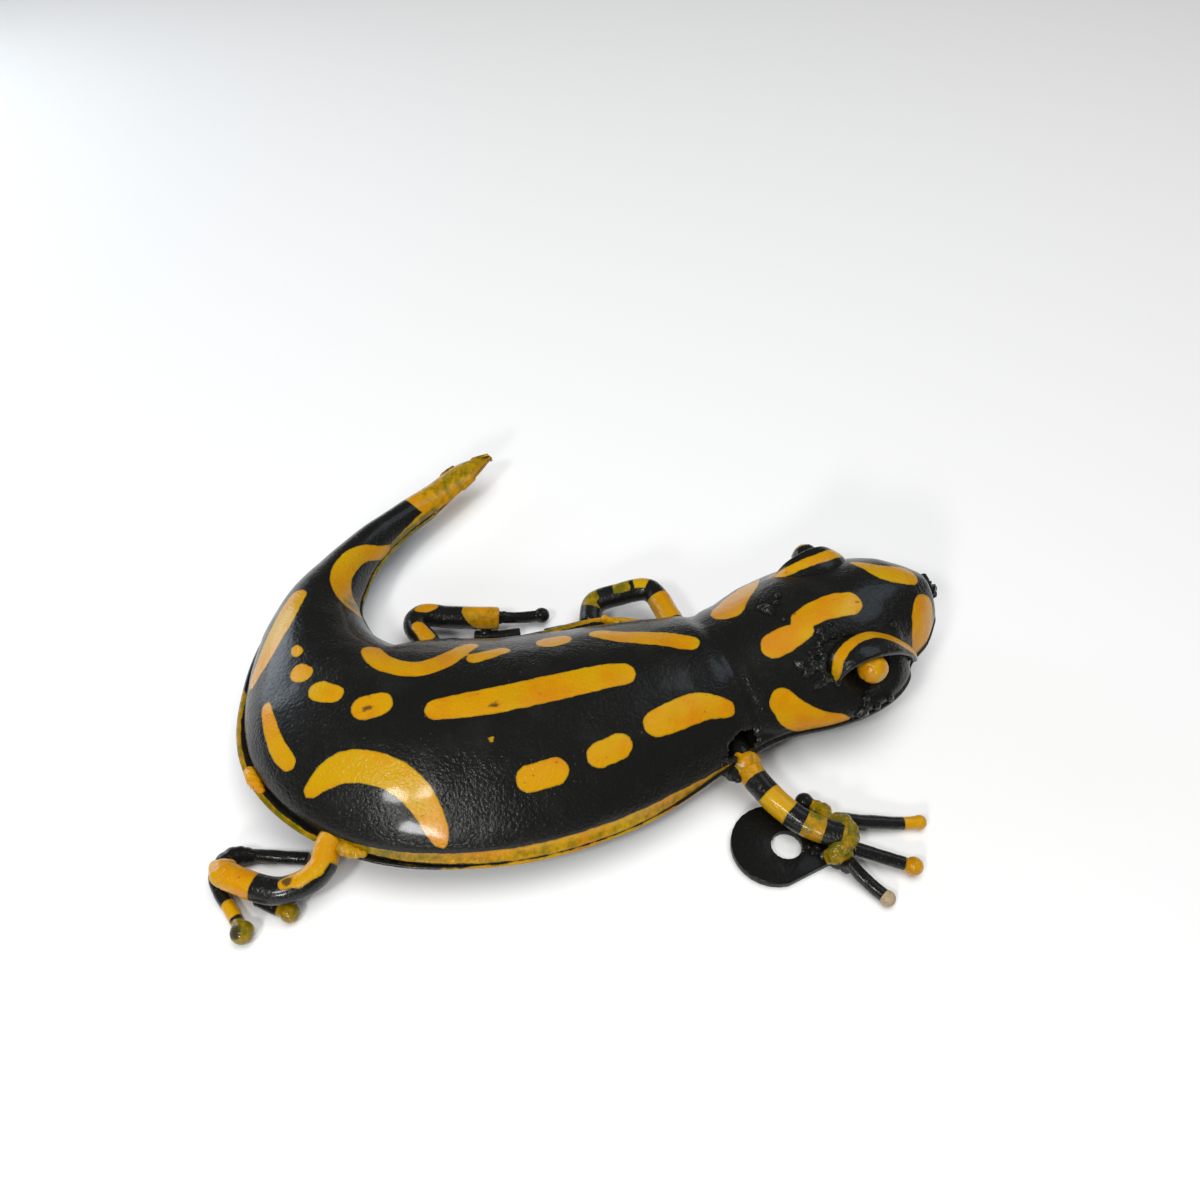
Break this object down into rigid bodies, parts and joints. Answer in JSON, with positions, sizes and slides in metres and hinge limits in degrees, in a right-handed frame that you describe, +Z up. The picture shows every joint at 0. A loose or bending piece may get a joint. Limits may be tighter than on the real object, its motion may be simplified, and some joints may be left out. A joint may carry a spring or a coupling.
{
  "type": "sheet metal salamander ornament",
  "caption": "Painted steel fire salamander ornament: domed sheet shells over a rimmed pan, hooded ball eyes, bent rod legs with thin rod toes, a curled tail and a flat tab with a hole.",
  "frame": {"origin": "middle of the footprint, on the floor plane the feet stand on", "axes": "+X runs towards the nose and is the longest extent, +Y to the animal's left, +Z straight up and the shortest extent"},
  "size_m": [0.3437, 0.2937, 0.0567],
  "materials": {
    "black_enamel": "satin black enamel on steel, brushed on by hand",
    "yellow_enamel": "glossy orange-yellow enamel on steel, brushed on by hand",
    "bare_steel": "rod with black enamel worn off its sawn tip"
  },
  "bodies": {
    "root": {"tail_tip": "yellow_enamel", "tail_end": "black_enamel", "tail_root": "black_enamel", "trunk": "black_enamel", "neck": "black_enamel", "head": "black_enamel", "tail_pan": "yellow_enamel", "belly_pan": "yellow_enamel", "jaw_pan": "black_enamel", "leg_front_right": "black_enamel", "leg_front_left": "black_enamel", "leg_rear_right": "black_enamel", "leg_rear_left": "black_enamel", "toe_front_right_1": "black_enamel", "toe_front_right_2": "black_enamel", "toe_front_right_3": "bare_steel", "toe_front_right_4": "black_enamel", "toe_front_left_1": "black_enamel", "toe_front_left_2": "black_enamel", "toe_front_left_3": "black_enamel", "toe_rear_right_1": "black_enamel", "toe_rear_right_2": "black_enamel", "toe_rear_left_1": "black_enamel", "toe_rear_left_2": "black_enamel", "fixing_tab": "black_enamel", "eye_left": "yellow_enamel", "eye_right": "yellow_enamel", "eye_hood_left": "black_enamel", "eye_hood_right": "black_enamel", "nose_weld": "black_enamel"}
  },
  "joints": []
}
